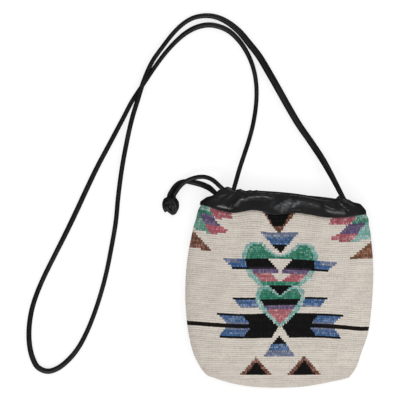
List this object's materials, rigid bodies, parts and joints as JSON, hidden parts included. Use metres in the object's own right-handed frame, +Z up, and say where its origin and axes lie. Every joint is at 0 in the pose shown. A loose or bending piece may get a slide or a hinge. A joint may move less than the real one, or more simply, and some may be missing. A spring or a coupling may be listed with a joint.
{
  "type": "shoulder bag",
  "caption": "Small drawstring bucket bag in fine cream tapestry crochet with a glossy black leather casing, a leather drawstring and a long round leather cord strap, lying on its back.",
  "frame": {"origin": "middle of the bag's own footprint on the floor, without its strap and drawstring ends", "axes": "+X to the right across the bag as seen from its front, +Y from the base to the mouth, +Z up out of its front as it lies on its back"},
  "size_m": [0.3984, 0.4312, 0.0339],
  "materials": {
    "cream_cotton": "matte crocheted yarn with coloured motifs",
    "black_leather": "glossy smooth",
    "black_cord": "semi-gloss round cord"
  },
  "bodies": {
    "root": {"crochet_body": "cream_cotton", "leather_casing": "black_leather", "shoulder_strap": "black_cord", "strap_stop_knot_left": "black_cord", "strap_stop_knot_right": "black_cord", "drawstring": "black_cord", "drawstring_tail_upper": "black_cord", "drawstring_tail_lower": "black_cord", "drawstring_knot": "black_cord"}
  },
  "joints": []
}
